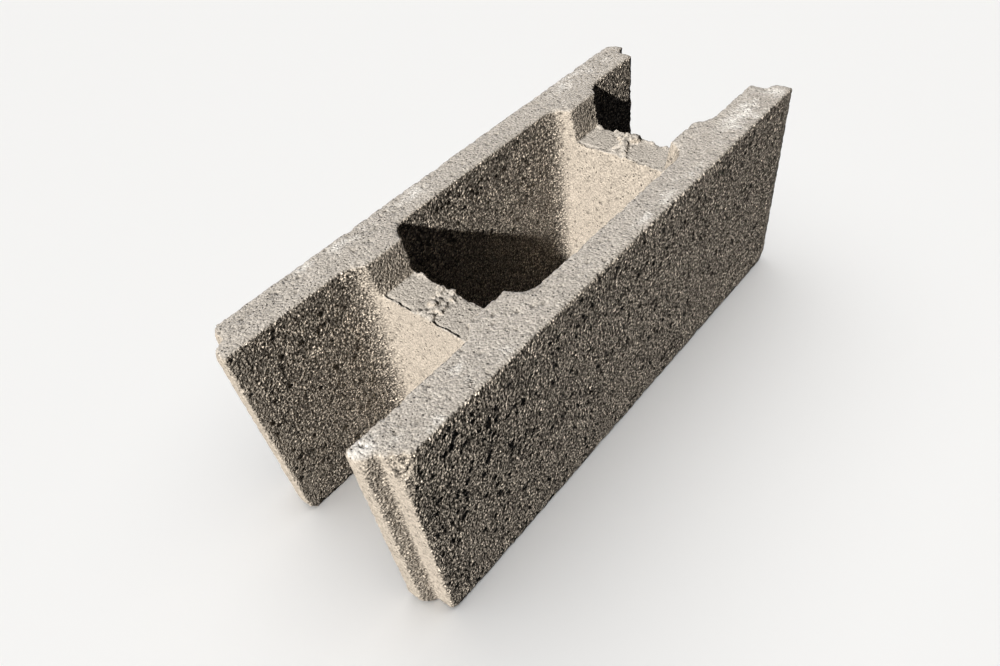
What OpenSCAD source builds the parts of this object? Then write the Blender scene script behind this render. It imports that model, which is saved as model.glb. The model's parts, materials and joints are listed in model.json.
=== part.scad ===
// A dry-stack concrete shuttering block: two face shells joined by two notched webs, cast in one
// pour. +X runs along the block, towards the end whose inner halves are set back, Y runs across
// it and Z is up. The origin is on the floor, in the middle of the block.

/* [Overall] */
// Length of the outer face of a shell, which is the length that one block takes up in a course
face_l = 500; // [400:5:650]
// Width over the outer faces of the two shells
block_w = 200; // [160:5:300]
// Height of the block, which is one course
block_h = 200; // [150:5:250]

/* [Shells and webs] */
// Thickness of a shell at its top, beside the two end cells
shell_end_t = 36; // [30:1:46]
// Thickness of a shell at its top, beside the middle core
shell_mid_t = 30; // [25:1:46]
// Thickness of a web at its top
web_t = 35; // [25:1:50]
// Distance between the middles of the two webs
web_pitch = 254; // [200:2:310]
// How far the pair of webs stands from the middle of the outer faces, towards +X
web_offset = 10; // [0:1:20]
// How much each wall of a cell moves in from the top to the foot, so that the mould strips
draft = 2; // [1:0.5:5]

/* [Fillets] */
// Radius at the top where a web meets a shell, in an end cell
end_fillet_r = 25; // [12:1:30]
// Radius at the top where a web meets a shell, in the middle core
mid_fillet_r = 20; // [10:1:30]

/* [Ship-lap ends] */
// Thickness of the outer half of a shell, halfway along a lap
lap_t = 19; // [14:1:24]
// How far the inner halves stand out at the -X end, and are set back at the +X end
lap_l = 12; // [6:1:20]
// How much the side of a lap leans over its length, so that two blocks slide home
lap_lean = 4; // [0:0.5:6]
// Clearance between the sides of two laps that are pushed together
lap_gap = 1; // [0.5:0.5:3]

/* [Web notches] */
// Width of the shoulder that a notch leaves beside a shell of the end cells
shoulder_w = 11; // [6:1:20]
// Depth of a notch below the top of the block
notch_d = 32; // [20:1:60]
// How far each side of a notch leans in from its top to its floor
notch_lean = 6; // [2:1:10]
// Width at the foot of the ridge that parts a notch into two bar seats
ridge_w = 14; // [10:1:24]
// Width of the ridge along its crest
crest_w = 6; // [3:1:9]
// Height of the ridge above the floor of its notch
ridge_h = 8; // [4:1:16]

/* [Hidden] */
$fn = 96;
// How far a cutter runs past the face that it opens
past = 5;
// Ends of the outer faces
face_x0 = -(face_l - lap_l) / 2;
face_x1 = face_x0 + face_l;
// Middles of the two webs
web_x = [for (side = [-1, 1]) face_x0 + face_l / 2 + web_offset + side * web_pitch / 2];
// Half the width between the shells, at the top
end_half_w = block_w / 2 - shell_end_t;
mid_half_w = block_w / 2 - shell_mid_t;
// Half the width of a notch, at the top
notch_half_w = end_half_w - shoulder_w;

// Outline of a cell's length or width: from its top size, its two sides lean in to the foot
module tapered_outline(lo, hi) {
    lean = draft / block_h;
    polygon([
        [lo + draft + lean * past, -past],
        [hi - draft - lean * past, -past],
        [hi + lean * past, block_h + past],
        [lo - lean * past, block_h + past]
    ]);
}

// An upright opening with tapered walls and conical corners, given by its size at the top
module cell(x_lo, x_hi, half_w, r) {
    lean = draft / block_h;
    translate([x_lo + r, 0, 0]) rotate([90, 0, 90])
        linear_extrude(x_hi - x_lo - 2 * r) tapered_outline(-half_w, half_w);
    translate([0, half_w - r, 0]) rotate([90, 0, 0])
        linear_extrude(2 * (half_w - r)) tapered_outline(x_lo, x_hi);
    for (x = [x_lo + r, x_hi - r], y = [r - half_w, half_w - r])
        translate([x, y, -past])
            cylinder(h = block_h + 2 * past, r1 = r - draft - lean * past, r2 = r + lean * past);
}

// The three cells: the end ones run out of the block, so that a joint forms a full core
module cells() {
    run_out = end_fillet_r + past;
    cell(face_x0 - lap_l - run_out, web_x[0] - web_t / 2, end_half_w, end_fillet_r);
    cell(web_x[0] + web_t / 2, web_x[1] - web_t / 2, mid_half_w, mid_fillet_r);
    cell(web_x[1] + web_t / 2, face_x1 + run_out, end_half_w, end_fillet_r);
}

// What the two tamper shoes press out of the top of a web, with the ridge left between them
module notch() {
    length = web_t + 2 * (draft + end_fillet_r);
    floor_z = block_h - notch_d;
    foot_y = notch_half_w - notch_lean;
    rim_y = notch_half_w + notch_lean * past / notch_d;
    translate([-length / 2, 0, 0]) rotate([90, 0, 90]) linear_extrude(length) polygon([
        [-rim_y, block_h + past],
        [-foot_y, floor_z],
        [-ridge_w / 2, floor_z],
        [-crest_w / 2, floor_z + ridge_h],
        [crest_w / 2, floor_z + ridge_h],
        [ridge_w / 2, floor_z],
        [foot_y, floor_z],
        [rim_y, block_h + past]
    ]);
}

// Plan of the width that a lap takes up, from x on towards +X. It is twice half_w wide halfway
// along the lap, and its two sides lean outwards as it goes
module lap_plan(x, half_w) {
    slope = lap_lean / lap_l;
    narrow = half_w - lap_lean / 2;
    wide = half_w + lap_lean / 2 + slope * past;
    x_end = x + lap_l + past;
    polygon([[x, -narrow], [x_end, -wide], [x_end, wide], [x, narrow]]);
}

// The block before its cells are opened. Its tongues stand out at the -X end, and the gap that
// takes the next block's tongues is cut in at the +X end
module blank() {
    lap_half_w = block_w / 2 - lap_t;
    linear_extrude(block_h) difference() {
        union() {
            translate([face_x0, -block_w / 2]) square([face_l, block_w]);
            lap_plan(face_x0 - lap_l, lap_half_w - lap_gap / 2);
        }
        lap_plan(face_x1 - lap_l, lap_half_w + lap_gap / 2);
    }
}

module block() {
    color("#b4aa9a") difference() {
        blank();
        cells();
        for (x = web_x) translate([x, 0, 0]) notch();
    }
}

block();
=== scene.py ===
import json
import math
import random

import bmesh
import bpy
from mathutils import Matrix, Vector, noise
from mathutils.kdtree import KDTree


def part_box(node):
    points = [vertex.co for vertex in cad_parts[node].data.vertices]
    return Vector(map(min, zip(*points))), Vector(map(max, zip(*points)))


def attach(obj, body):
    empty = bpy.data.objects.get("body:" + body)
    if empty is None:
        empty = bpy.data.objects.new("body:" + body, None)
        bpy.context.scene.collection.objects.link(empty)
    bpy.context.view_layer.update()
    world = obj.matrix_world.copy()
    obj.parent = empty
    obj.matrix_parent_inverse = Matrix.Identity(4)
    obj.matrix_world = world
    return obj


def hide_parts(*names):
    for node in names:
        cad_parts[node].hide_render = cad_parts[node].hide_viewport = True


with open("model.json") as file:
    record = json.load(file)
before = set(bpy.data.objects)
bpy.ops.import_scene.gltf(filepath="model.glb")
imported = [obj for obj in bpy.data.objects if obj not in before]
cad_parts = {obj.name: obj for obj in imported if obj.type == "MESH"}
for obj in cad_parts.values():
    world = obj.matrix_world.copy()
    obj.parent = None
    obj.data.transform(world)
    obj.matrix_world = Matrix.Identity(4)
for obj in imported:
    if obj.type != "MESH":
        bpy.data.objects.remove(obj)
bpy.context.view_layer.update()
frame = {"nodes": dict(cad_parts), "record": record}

# ---- The cast block ------------------------------------------------------------------------
# One casting of semi-dry concrete with 0-4 mm sand and fine gravel. It is pressed and shaken in
# a steel mould and stripped at once, while it is still soft, so that every face has an open
# grain, the arrises crumble, and the shoes that press the notches leave a ragged ridge.
MM = 0.001
rng = random.Random(7)

block_low, block_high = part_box("block")
mount = {m["name"]: Vector(m["pos_m"]) for m in frame["record"]["mounts"]}
web_middles = [mount["bar_seat_near_front"].x, mount["bar_seat_far_front"].x]
notch_floor = mount["bar_seat_near_front"].z
top = block_high.z

voxel = 1.3 * MM
most_triangles = 196_000

shape = bmesh.new()
shape.from_mesh(frame["nodes"]["block"].data)
bmesh.ops.remove_doubles(shape, verts=shape.verts, dist=0.01 * MM)

# Where the arrises of the clean casting run: points every millimetre along each one
arris_turn = math.radians(28)
arris_edges = [e for e in shape.edges if e.calc_face_angle_signed(0) > arris_turn]
arris_points = []
for edge in arris_edges:
    start, end = (v.co.copy() for v in edge.verts)
    steps = max(1, round((end - start).length / MM))
    arris_points += [start.lerp(end, (i + 0.5) / steps) for i in range(steps)]
arrises = KDTree(len(arris_points))
for i, point in enumerate(arris_points):
    arrises.insert(point, i)
arrises.balance()


def add_crumb(place, size):
    """A loose-looking lump of mortar or gravel, fused to the casting at place."""
    angle = rng.uniform(0, math.tau)
    axis = Vector((rng.gauss(0, 1), rng.gauss(0, 1), 1))
    turn = Matrix.Rotation(angle, 4, axis)
    squash = Matrix.Diagonal((rng.uniform(0.9, 1.3), rng.uniform(0.7, 1), rng.uniform(0.6, 0.9), 1))
    knobbly = 0.12
    made = bmesh.ops.create_icosphere(
        shape, subdivisions=2, radius=size, matrix=Matrix.Translation(place) @ turn @ squash
    )
    for vert in made["verts"]:
        vert.co += (vert.co - place) * rng.uniform(-knobbly, knobbly)


# The ridge between the two bar seats of each web, squeezed up between the tamper shoes: a low
# bank a little off the middle, buried in gravel and mortar. The lumps that stand out are
# (x, y, size) in millimetres from the middle of the web, and the holes between them (x, y).
web_half = 17.5 * MM
ridge_y = 4.5
ridge_reach = 8 * MM
bank_height = 2 * MM
bank_squeeze = 0.8
lump_lift = 0.4
small_lumps = 60
ridges = [
    {
        "lumps": [
            (14, 12, 4.2), (16, 3, 3.8), (10, -1, 3.0), (9, 12, 3.6), (3, 6, 3.4),
            (-3, 7, 4.6), (-9, 3, 3.2), (-13, 6, 3.0), (-14, -1, 3.4), (-17, -6, 2.6),
            (15, 18, 2.4), (-5, 0, 2.6),
        ],
        "holes": [(12, 7), (5, 2), (7, 7), (-9, 8), (-10, -2), (0, 1)],
    },
    {
        "lumps": [
            (13, 2, 6.2), (14, 10, 4.4), (6, 8, 4.6), (0, 5, 5.2), (-6, 1, 3.6),
            (-12, -3, 3.0), (-16, -7, 2.4), (8, 15, 3.4),
        ],
        "holes": [(-9, 7), (7, 1), (8, -4), (-3, -3)],
    },
]
for vert in shape.verts:
    if abs(vert.co.y) < ridge_reach and notch_floor - MM < vert.co.z < top - 5 * MM:
        vert.co.y = ridge_y * MM + bank_squeeze * vert.co.y
        vert.co.z = min(vert.co.z, notch_floor + bank_height)
for middle, ridge in zip(web_middles, ridges):
    for x, y, size in ridge["lumps"]:
        place = Vector((middle + x * MM, y * MM, notch_floor + lump_lift * size * MM))
        add_crumb(place, size * MM)
    for i in range(small_lumps):
        x = rng.uniform(-17, 17)
        y = rng.gauss(ridge_y, 4.2)
        size = rng.uniform(0.9, 2.3)
        hole_half = 1.2
        if min(math.hypot(x - a, y - b) for a, b in ridge["holes"]) > size + hole_half:
            place = Vector((middle + x * MM, y * MM, notch_floor + rng.uniform(0, 2.2) * MM))
            add_crumb(place, size * MM)

# Broken flash along the rims of the seats, where mortar crept up beside the shoes. It is coarser
# on the rims that face +X.
rim_half = 46
rim_crumbs = 80
stretch = 9 * MM
largest_crumb = {-1: 2.2, 1: 3.0}
for middle in web_middles:
    for side in (-1, 1):
        for i in range(rim_crumbs):
            along = -rim_half * MM + i * 2 * rim_half * MM / (rim_crumbs - 1)
            if noise.noise(Vector((along / stretch, side, middle * 50))) < 0.05:
                continue
            place = Vector((
                middle + side * (web_half - 0.4 * MM),
                along + rng.gauss(0, 0.5 * MM),
                notch_floor + rng.uniform(-0.6, 0.4) * MM,
            ))
            add_crumb(place, rng.uniform(0.9, largest_crumb[side]) * MM)

# An even skin of small quads, in which the lumps and the casting are one
holder = bpy.data.objects.new("casting_in_work", bpy.data.meshes.new("casting_in_work"))
bpy.context.scene.collection.objects.link(holder)
shape.to_mesh(holder.data)
skin = holder.modifiers.new("skin", "REMESH")
skin.mode = "VOXEL"
skin.voxel_size = voxel
skin.adaptivity = 0
evaluated = holder.evaluated_get(bpy.context.evaluated_depsgraph_get())
skinned = bpy.data.meshes.new_from_object(evaluated)
shape.clear()
shape.from_mesh(skinned)
bpy.data.objects.remove(holder)

# Arrises that slumped and rubbed off before the concrete set
arris_reach = 3.5 * MM
near_arris = [v for v in shape.verts if arrises.find(v.co)[2] < arris_reach]
bmesh.ops.smooth_vert(
    shape, verts=near_arris, factor=0.5, use_axis_x=True, use_axis_y=True, use_axis_z=True
)


def break_off(corner, inward, depth):
    """Breaks a corner back to a rough plane that stands depth inside it."""
    corner = Vector(corner) * MM
    inward = Vector(inward).normalized()
    reach = 45 * MM
    fracture_grain = 5 * MM
    fracture_height = 1.2
    for vert in shape.verts:
        if (vert.co - corner).length > reach:
            continue
        rough = noise.fractal(vert.co / fracture_grain, 0.8, 2.0, 3) * fracture_height * MM
        past = depth * MM + rough - (vert.co - corner).dot(inward)
        if past > 0:
            vert.co += inward * past


# Corners knocked off in handling: the corner, the way into the block, and the depth of the break,
# in millimetres
broken_corners = [
    ((-244, 100, 200), (0.7, -0.7, -0.35), 5),
    ((-256, 78, 200), (0.8, -0.5, -0.4), 3),
    ((-256, -78, 200), (0.7, 0.7, -0.2), 2.5),
    ((-256, 73, 0), (0.8, 0, 0.6), 6),
    ((-256, -73, 0), (0.8, 0.1, 0.6), 7),
    ((-244, -100, 0), (0.6, 0.4, 0.7), 6),
    ((256, 100, 200), (-0.6, -0.5, -0.5), 7),
    ((256, -100, 0), (-0.7, 0.3, 0.6), 9),
]
for corner, inward, depth in broken_corners:
    break_off(corner, inward, depth)


def ragged(point, size, octaves=1):
    """Noise of the given grain size in millimetres, from about -1 to 1."""
    return noise.fractal(point / (size * MM), 0.9, 2.0, octaves)


def pit(point, spacing, share, width):
    """0 on the sound face, down to -1 at the middle of a pit; a share of the cells have one."""
    distances, centres = noise.voronoi(point / (spacing * MM))
    if noise.cell(centres[0] * 91.7) > share:
        return 0
    return -max(0, 1 - (distances[0] * spacing / width) ** 2)


def crevice(point, size, width):
    """0 on the sound face, down to -1 along thin winding cracks, which come in patches."""
    patch = min(1, max(0, 3 * noise.noise(point / (3.5 * size * MM)) - 0.2))
    return -patch * max(0, 1 - abs(noise.noise(point / (size * MM))) / width)


# Where the surface is out of the ordinary: the middle of each patch and how far it reaches along
# X, Y and Z, in millimetres. Pale scuffs lie on the top, where other blocks were dragged over it,
# and open patches lie where the mix was too dry to close.
scuffs = [
    ((-245, -71, 200), (14, 9, 4)), ((-228, -83, 200), (12, 2, 4)), ((-169, -76, 200), (10, 4, 4)),
    ((-168, -89, 200), (9, 3, 4)), ((-139, -93, 200), (16, 3, 4)), ((-209, -96, 200), (12, 3, 4)),
    ((-112, 90, 200), (36, 8, 4)), ((-160, 94, 200), (25, 4, 4)), ((-50, 90, 200), (40, 7, 4)),
    ((60, -92, 200), (60, 5, 4)), ((205, -86, 200), (70, 18, 4)), ((190, 88, 200), (60, 12, 4)),
]
open_patches = [
    ((-205, 82, 200), (40, 18, 5)), ((-110, 84, 200), (60, 16, 5)),
    ((-185, -100, 150), (50, 5, 50)), ((-120, -100, 110), (60, 5, 30)),
    ((-190, 64, 120), (50, 5, 90)), ((30, 70, 170), (60, 5, 30)),
    ((-80, -75, 200), (40, 12, 5)), ((120, 100, 90), (90, 5, 60)),
]


def inside(point, patches):
    """How well a point lies inside any of the patches, from 0 at their rims to 1."""
    x, y, z = point / MM
    depth = 0
    for (mid_x, mid_y, mid_z), (reach_x, reach_y, reach_z) in patches:
        if abs(x - mid_x) < reach_x and abs(y - mid_y) < reach_y:
            off = math.hypot((x - mid_x) / reach_x, (y - mid_y) / reach_y, (z - mid_z) / reach_z)
            depth = max(depth, 1 - off)
    return min(1, 2 * depth)


# What each point of the surface is: a stripped long face, a pressed top or seat, near an arris, on
# a scuff, or on an open patch. The laps and the notch sides are half as open as the long faces.
lap_reach = 12.5 * MM
notch_reach = 55 * MM
wear_reach = 4.5 * MM
long_face = shape.verts.layers.float.new("long_face")
pressed = shape.verts.layers.float.new("pressed")
worn = shape.verts.layers.float.new("worn")
# painted_hollow_shade: how deep a point lies in a pit, crack or groove; it darkens the colour below
# as painted shade
painted_hollow_shade = shape.verts.layers.float.new("painted_hollow_shade")
scuffed = shape.verts.layers.float.new("scuffed")
coarse = shape.verts.layers.float.new("coarse")
shape.normal_update()
for vert in shape.verts:
    on_lap = min(vert.co.x - block_low.x, block_high.x - vert.co.x) < lap_reach
    off_web = min(abs(vert.co.x - x) for x in web_middles) - web_half
    in_notch = vert.co.z > notch_floor and off_web < MM and abs(vert.co.y) < notch_reach
    vert[long_face] = min(1, max(0, (abs(vert.normal.y) - 0.45) / 0.45))
    vert[long_face] *= 0.5 if on_lap or in_notch else 1
    vert[pressed] = min(1, max(0, (abs(vert.normal.z) - 0.5) / 0.35))
    vert[worn] = max(0, 1 - arrises.find(vert.co)[2] / wear_reach)
    vert[scuffed] = inside(vert.co, scuffs)
    vert[coarse] = inside(vert.co, open_patches)

# The open grain of the stripped faces, coarse on the long faces and finer on webs and ends, pits
# where grains were dragged out, faces that aren't quite flat, and crumbled arrises with a few
# bigger chips. All are in millimetres.
grain_size = 3.2
grain_height = 0.27
knob_size = 8
knob_height = 0.07
wave_size = 45
wave_height = 0.22
pit_spacing = 7
pit_half = 1.9
hollow_depth = 1.1
crevice_size = 8
crevice_width = 0.12
crumb_size = 4
crumb_depth = 1.6
chip_spacing = 17
chip_share = 0.3
chip_half = 6
chip_depth = 1.5
rub_depth = 0.15
crumb_shift = Vector((5, 1, 2))
chip_shift = Vector((7, 3, 4))
for vert in shape.verts:
    place = vert.co
    open_grain = (0.45 + 0.55 * vert[long_face]) * (1 - 0.3 * vert[pressed])
    pit_share = 0.06 + 0.08 * vert[long_face] + 0.16 * vert[coarse]
    crevice_share = 0.1 + 0.15 * vert[long_face] + 0.15 * vert[coarse]
    hollow = pit(place, pit_spacing, pit_share, pit_half)
    hollow += crevice(place, crevice_size, crevice_width) * crevice_share
    height = ragged(place, grain_size) * grain_height * open_grain
    height += ragged(place, knob_size, 2) * knob_height
    height += ragged(place, wave_size, 2) * wave_height + hollow_depth * hollow
    crumble = max(0, ragged(place + crumb_shift, crumb_size, 2) - 0.05)
    crumble += 0.8 * max(0, ragged(place, 2 * crumb_size, 2) - 0.05)
    chip = pit(place + chip_shift, chip_spacing, chip_share, chip_half)
    height -= vert[worn] * (rub_depth + crumb_depth * crumble - chip_depth * chip)
    # The deeper a point lies in a pit or crack, the more shade is painted into its colour
    vert[painted_hollow_shade] = min(1, -0.8 * hollow)
    vert.co = place + vert.normal * height * MM

# Along the -X rims of the seats the flash stands up, with a groove behind it that is painted dark
# as the shadow of the fin. Each stretch of it runs from one y to another.
grooves = [[(18, 33), (38, 47), (-34, -6)], [(24, 46), (-35, -8)]]
fin_middle = 0.3
fin_half = 1.2
fin_height = 0.7
groove_middle = 1.9
groove_half = 1.3
groove_depth = 2.2
seat_reach = 50 * MM
for vert in shape.verts:
    if abs(vert.co.z - notch_floor) > 2.5 * MM or abs(vert.co.y) > seat_reach:
        continue
    for middle, stretches in zip(web_middles, grooves):
        behind_rim = (vert.co.x - middle + web_half) / MM - 0.5 * ragged(vert.co, 6)
        if -1 < behind_rim < 3.4 and any(a < vert.co.y / MM < b for a, b in stretches):
            broken = min(1, max(0.2, 1 + ragged(vert.co, 3)))
            groove = max(0, 1 - abs(behind_rim - groove_middle) / groove_half) * broken
            fin = max(0, 1 - abs(behind_rim - fin_middle) / fin_half)
            vert.co.z += (fin_height * fin - groove_depth * groove) * MM
            # The groove behind the fin gets painted shadow in its colour
            vert[painted_hollow_shade] = max(vert[painted_hollow_shade], groove)

# The bed set on a steel pallet, so nothing of it stands lower than that
for vert in shape.verts:
    vert.co.z = max(vert.co.z, block_low.z)

# The seats and their ridges keep every triangle, and the rest is thinned to the limit
casting = bpy.data.objects.new("casting_in_work", bpy.data.meshes.new("casting_in_work"))
bpy.context.scene.collection.objects.link(casting)
shape.to_mesh(casting.data)
plain = casting.vertex_groups.new(name="plain")
near_ridge = [
    i for i, vert in enumerate(casting.data.vertices)
    if abs(vert.co.y) < seat_reach and notch_floor - 4 * MM < vert.co.z < top - 10 * MM
    and min(abs(vert.co.x - middle) for middle in web_middles) < web_half + 2 * MM
]
plain.add([vert.index for vert in casting.data.vertices], 1, "REPLACE")
plain.add(near_ridge, 0, "REPLACE")
shape.free()
thin = casting.modifiers.new("thin", "DECIMATE")
thin.vertex_group = "plain"
thin.ratio = most_triangles / (2 * len(casting.data.polygons))
evaluated = casting.evaluated_get(bpy.context.evaluated_depsgraph_get())
block = bpy.data.objects.new("cast_block", bpy.data.meshes.new_from_object(evaluated))
bpy.context.scene.collection.objects.link(block)
bpy.data.objects.remove(casting)
block.data.shade_smooth()


def linear(code):
    """An sRGB hex colour as linear RGBA."""
    channels = [int(code[i:i + 2], 16) / 255 for i in (1, 3, 5)]
    return [c / 12.92 if c <= 0.04045 else ((c + 0.055) / 1.055) ** 2.4 for c in channels] + [1]


def add_node(tree, kind, inputs=None, **settings):
    """A shader node with its settings; an input is a value, a node's output, or a node."""
    made = tree.nodes.new("ShaderNode" + kind)
    for name, value in settings.items():
        setattr(made, name, value)
    for name, value in (inputs or {}).items():
        if isinstance(value, bpy.types.Node):
            value = value.outputs[0]
        if isinstance(value, bpy.types.NodeSocket):
            tree.links.new(value, made.inputs[name])
        else:
            made.inputs[name].default_value = value
    return made


# Vibro-pressed concrete: matt, with grains that stand proud of the gaps on the stripped faces,
# their pale tips and dark gaps painted light and shade, and a paler, greyer, finer skin where it
# was pressed. Its relief is sharp, so low light is let into it without the softening that suits
# smooth goods.
concrete = bpy.data.materials.new("vibro_pressed_concrete")
concrete.cycles.use_bump_map_correction = False
concrete.use_nodes = True
tree = concrete.node_tree
tree.nodes.clear()
places = add_node(tree, "TexCoord").outputs["Object"]
is_long = add_node(tree, "Attribute", attribute_name="long_face").outputs["Fac"]
is_pressed = add_node(tree, "Attribute", attribute_name="pressed").outputs["Fac"]
is_scuffed = add_node(tree, "Attribute", attribute_name="scuffed").outputs["Fac"]


def per(size):
    """The texture scale that gives a pattern of this size in millimetres."""
    return 1 / (size * MM)


# The grain is stirred a little, so that its cells lose their straight borders. The finest of it
# is drawn at 1.5 mm, about twice its real size, because finer grain would not show.
pebble_size = 3.2
grit_size = 2.2
sand_size = 1.5
stir_by = 1.6 * MM
stir = add_node(tree, "TexNoise", {"Vector": places, "Scale": per(2), "Detail": 2.0})
offset = add_node(tree, "VectorMath", {
    0: stir.outputs["Color"], 1: (0.5, 0.5, 0.5),
}, operation="SUBTRACT")
stirred = add_node(tree, "VectorMath", {
    0: offset, 1: (stir_by, stir_by, stir_by), 2: places,
}, operation="MULTIPLY_ADD")
pebbles = add_node(tree, "TexVoronoi", {"Vector": stirred, "Scale": per(pebble_size)}, feature="F1")
grit = add_node(tree, "TexVoronoi", {"Vector": stirred, "Scale": per(grit_size)}, feature="F1")
sand = add_node(tree, "TexNoise", {"Vector": places, "Scale": per(sand_size), "Detail": 1.0})

# Winding cracks, where a noise crosses its middle. They come in patches, more of them where the
# mix was dry.
crack_size = 6
crack_patch_size = 11
is_coarse = add_node(tree, "Attribute", attribute_name="coarse").outputs["Fac"]
painted_hollow_shade_fac = add_node(tree, "Attribute", attribute_name="painted_hollow_shade").outputs["Fac"]
fold = add_node(tree, "TexNoise", {"Vector": stirred, "Scale": per(crack_size), "Detail": 2.0})
fold = add_node(tree, "Math", {0: fold, 1: 0.5}, operation="SUBTRACT")
fold = add_node(tree, "Math", {0: fold}, operation="ABSOLUTE")
crack_line = add_node(tree, "MapRange", {
    "Value": fold, "From Min": 0.005, "From Max": 0.035, "To Min": 1.0, "To Max": 0.0,
})
patch = add_node(tree, "TexNoise", {
    "Vector": places, "Scale": per(crack_patch_size), "Detail": 2.0,
})
patch = add_node(tree, "Math", {0: is_coarse, 1: 0.1, 2: patch}, operation="MULTIPLY_ADD")
patch = add_node(tree, "MapRange", {"Value": patch, "From Min": 0.58, "From Max": 0.66})
crack = add_node(tree, "Math", {0: crack_line, 1: patch}, operation="MULTIPLY")
crack_depth = add_node(tree, "MapRange", {"Value": is_long, "To Min": 0.4, "To Max": 1.0})
crack = add_node(tree, "Math", {0: crack, 1: crack_depth}, operation="MULTIPLY")

# Small holes where grains were dragged out, in a share of the cells of a fine net
net_size = 2.8
net = add_node(tree, "TexVoronoi", {"Vector": stirred, "Scale": per(net_size)}, feature="F1")
share = add_node(tree, "Math", {
    0: is_long, 1: 0.16, 2: net.outputs["Color"],
}, operation="MULTIPLY_ADD")
share = add_node(tree, "Math", {0: is_coarse, 1: 0.16, 2: share}, operation="MULTIPLY_ADD")
share = add_node(tree, "Math", {0: is_pressed, 1: 0.05, 2: share}, operation="MULTIPLY_ADD")
has_hole = add_node(tree, "MapRange", {"Value": share, "From Min": 0.7, "From Max": 0.74})
hole_disc = add_node(tree, "MapRange", {
    "Value": net, "From Min": 0.14, "From Max": 0.34, "To Min": 1.0, "To Max": 0.0,
})
hole = add_node(tree, "Math", {0: has_hole, 1: hole_disc}, operation="MULTIPLY")
gaps = add_node(tree, "Math", {0: crack, 1: hole}, operation="MAXIMUM")
# Painted shade down in the pits, cracks and grooves of the mesh
gaps = add_node(tree, "Math", {0: gaps, 1: painted_hollow_shade_fac}, operation="MAXIMUM")

# The relief, in millimetres: rounded pebbles and grit with sand over them, and the gaps
pebble_height = 0.5
grit_height = 1.6
gap_depth = 0.8
on_long = add_node(tree, "MapRange", {"Value": is_long, "To Min": 0.36, "To Max": 1.0})
on_pressed = add_node(tree, "MapRange", {"Value": is_pressed, "To Min": 1.0, "To Max": 1.05})
coarseness = add_node(tree, "Math", {0: on_long, 1: on_pressed}, operation="MULTIPLY")
sand_height = add_node(tree, "MapRange", {"Value": is_long, "To Min": 1.2, "To Max": 2.1})
round_pebbles = add_node(tree, "Math", {0: pebbles, 1: 2.0}, operation="POWER")
round_grit = add_node(tree, "Math", {0: grit, 1: 2.0}, operation="POWER")
grains = add_node(tree, "Math", {0: round_pebbles, 1: -pebble_height}, operation="MULTIPLY")
grains = add_node(tree, "Math", {
    0: round_grit, 1: -grit_height, 2: grains,
}, operation="MULTIPLY_ADD")
grains = add_node(tree, "Math", {0: sand, 1: sand_height, 2: grains}, operation="MULTIPLY_ADD")
grains = add_node(tree, "Math", {0: grains, 1: coarseness}, operation="MULTIPLY")
relief = add_node(tree, "Math", {0: gaps, 1: -gap_depth, 2: grains}, operation="MULTIPLY_ADD")
bump = add_node(tree, "Bump", {"Strength": 1.0, "Distance": MM, "Height": relief})

# The cement skin, greyer where it was pressed, with pale laitance on the scuffs
mottle_size = 16
mottle = add_node(tree, "TexNoise", {
    "Vector": places, "Scale": per(mottle_size), "Detail": 6.0, "Roughness": 0.6,
})
body = add_node(tree, "Mix", {
    "Factor": is_pressed, 6: linear("#948c81"), 7: linear("#948f88"),
}, data_type="RGBA")
laitance = add_node(tree, "MapRange", {
    "Value": mottle, "From Min": 0.42, "From Max": 0.62, "To Min": 0.0, "To Max": 0.7,
})
laitance = add_node(tree, "Math", {0: is_scuffed, 1: laitance}, operation="MULTIPLY")
body = add_node(tree, "Mix", {
    "Factor": laitance, 6: body.outputs[2], 7: linear("#c4c2be"),
}, data_type="RGBA")

# Its shade: mottled over the faces at random, with painted highlights on the tips of the sand and
# painted shade between them, and each grain of grit a tone of its own, spread far apart on the long
# faces as painted light and shade of low light. Both are strong on the long faces and slight
# elsewhere.
painted_tip_contrast = add_node(tree, "MapRange", {"Value": is_long, "To Min": 0.8, "To Max": 3.0})
painted_tip_shading = add_node(tree, "Math", {0: sand, 1: 2.0}, operation="MULTIPLY")
painted_tip_shading = add_node(tree, "Math", {0: painted_tip_shading, 1: painted_tip_contrast}, operation="POWER")
shade = add_node(tree, "MapRange", {
    "Value": mottle, "From Min": 0.3, "From Max": 0.7, "To Min": 0.93, "To Max": 1.06,
})
shade = add_node(tree, "Math", {0: shade, 1: painted_tip_shading}, operation="MULTIPLY")
darkest_grit = add_node(tree, "MapRange", {"Value": is_long, "To Min": 0.9, "To Max": 0.3})
palest_grit = add_node(tree, "MapRange", {"Value": is_long, "To Min": 1.08, "To Max": 1.7})
# Each grain of grit its own tone, pushed far apart on the long faces as painted light and shade
grit_tone_and_painted_shade = add_node(tree, "MapRange", {
    "Value": grit.outputs["Color"], "To Min": darkest_grit, "To Max": palest_grit,
})
shade = add_node(tree, "Math", {0: shade, 1: grit_tone_and_painted_shade}, operation="MULTIPLY")
lit = add_node(tree, "VectorMath", {0: body.outputs[2], "Scale": shade}, operation="SCALE")

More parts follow.
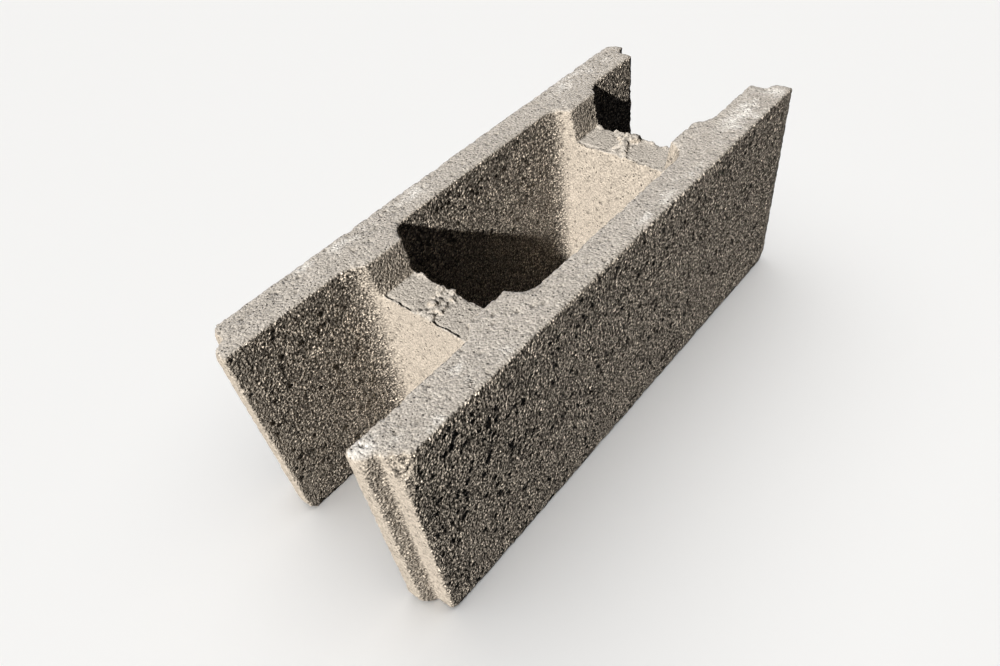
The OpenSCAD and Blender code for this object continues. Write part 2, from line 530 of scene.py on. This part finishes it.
# Painted shade: a dark brown mixed into the colour down in the gaps, and on the long faces between
# the grains of grit
painted_shade_between_grit = add_node(tree, "MapRange", {
    "Value": grit, "From Min": 0.42, "From Max": 0.6, "To Min": 0.0, "To Max": 0.8,
})
painted_shade_between_grit = add_node(tree, "Math", {0: painted_shade_between_grit, 1: is_long}, operation="MULTIPLY")
painted_gap_shade = add_node(tree, "Math", {0: gaps, 1: 0.9}, operation="MULTIPLY")
painted_gap_shade = add_node(tree, "Math", {0: painted_gap_shade, 1: painted_shade_between_grit}, operation="MAXIMUM")
colour = add_node(tree, "Mix", {
    "Factor": painted_gap_shade, 6: lit, 7: linear("#1d1710"),
}, data_type="RGBA")
surface = add_node(tree, "BsdfPrincipled", {
    "Base Color": colour.outputs[2], "Roughness": 0.92, "Specular IOR Level": 0.3, "Normal": bump,
})
add_node(tree, "OutputMaterial", {"Surface": surface})
block.data.materials.clear()
block.data.materials.append(concrete)

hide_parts("block")
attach(block, "root")

# ---- The floor and the backdrop --------------------------------------------------------------
# A plain pale studio floor under the block, and a pale dome far behind it. Neither throws any
# colour back on the block.
floor_mesh = bmesh.new()
bmesh.ops.create_circle(floor_mesh, cap_ends=True, segments=96, radius=11)
floor = bpy.data.objects.new("studio_floor", bpy.data.meshes.new("studio_floor"))
floor_mesh.to_mesh(floor.data)
floor_mesh.free()
bpy.context.scene.collection.objects.link(floor)
paper = bpy.data.materials.new("matt_white_paper")
paper.use_nodes = True
paper.node_tree.nodes["Principled BSDF"].inputs["Base Color"].default_value = linear("#f2f1ef")
paper.node_tree.nodes["Principled BSDF"].inputs["Roughness"].default_value = 1.0
floor.data.materials.append(paper)
floor.visible_diffuse = False
floor.visible_glossy = False

dome_mesh = bmesh.new()
bmesh.ops.create_uvsphere(dome_mesh, u_segments=48, v_segments=24, radius=11)
dome = bpy.data.objects.new("studio_backdrop", bpy.data.meshes.new("studio_backdrop"))
dome_mesh.to_mesh(dome.data)
dome_mesh.free()
bpy.context.scene.collection.objects.link(dome)
glow = bpy.data.materials.new("lit_white_backdrop")
glow.use_nodes = True
glow.node_tree.nodes.clear()
shine = add_node(glow.node_tree, "Emission", {"Color": linear("#f7f7f6")})
add_node(glow.node_tree, "OutputMaterial", {"Surface": shine})
dome.data.materials.append(glow)
for ray in ("visible_diffuse", "visible_glossy", "visible_transmission", "visible_shadow"):
    setattr(dome, ray, False)

# ---- The lights ------------------------------------------------------------------------------
# A warm key lamp low on the left that rakes the long faces, a faint cool fill from all around, a
# weak lamp behind for the far side, and a broad lamp overhead for the floor alone.
only_floor = bpy.data.collections.new("lit_floor")
only_floor.objects.link(floor)
only_block = bpy.data.collections.new("lit_block")
only_block.objects.link(block)


def add_lamp(name, towards, strength, angle, colour, lights):
    """A far lamp that stands in the direction towards, and lights only the given collection."""
    lamp = bpy.data.objects.new(name, bpy.data.lights.new(name, "SUN"))
    lamp.data.energy = strength
    lamp.data.angle = math.radians(angle)
    lamp.data.color = linear(colour)[:3]
    lamp.rotation_euler = Vector(towards).to_track_quat("Z", "Y").to_euler()
    lamp.location = Vector(towards).normalized() * 3
    bpy.context.scene.collection.objects.link(lamp)
    lamp.light_linking.receiver_collection = lights
    return lamp


add_lamp("key_lamp", (-0.822, -0.065, 0.566), 9.4, 2.5, "#fffbf6", only_block)
add_lamp("back_lamp", (0.6, 0.8, 0.1), 3.2, 30, "#f2f5ff", only_block)
add_lamp("floor_lamp", (0.05, 0.05, 1), 3.2, 100, "#ffffff", only_floor)

world = bpy.data.worlds.new("studio_fill")
world.use_nodes = True
world.node_tree.nodes["Background"].inputs["Color"].default_value = linear("#e6ecff")
world.node_tree.nodes["Background"].inputs["Strength"].default_value = 0.025
bpy.context.scene.world = world
bpy.context.scene.view_settings.view_transform = "Standard"

# ---- The camera ------------------------------------------------------------------------------
# It looks down at the near end from the front left corner, held a little out of level.
heading = math.radians(42.27)
dip = math.radians(45.57)
roll = math.radians(9.81)
aim = Vector((-0.0619, -0.0061, 0.1))
distance = 0.6261
turn = (
    Matrix.Rotation(-heading, 4, "Z")
    @ Matrix.Rotation(math.pi / 2 - dip, 4, "X")
    @ Matrix.Rotation(-roll, 4, "Z")
)
camera = bpy.data.objects.new("camera", bpy.data.cameras.new("camera"))
camera.data.sensor_width = 36
camera.data.lens = 26.205
camera.data.clip_start = 0.01
camera.data.clip_end = 40
camera.matrix_world = Matrix.Translation(aim) @ turn @ Matrix.Translation((0, 0, distance))
bpy.context.scene.collection.objects.link(camera)
bpy.context.scene.camera = camera
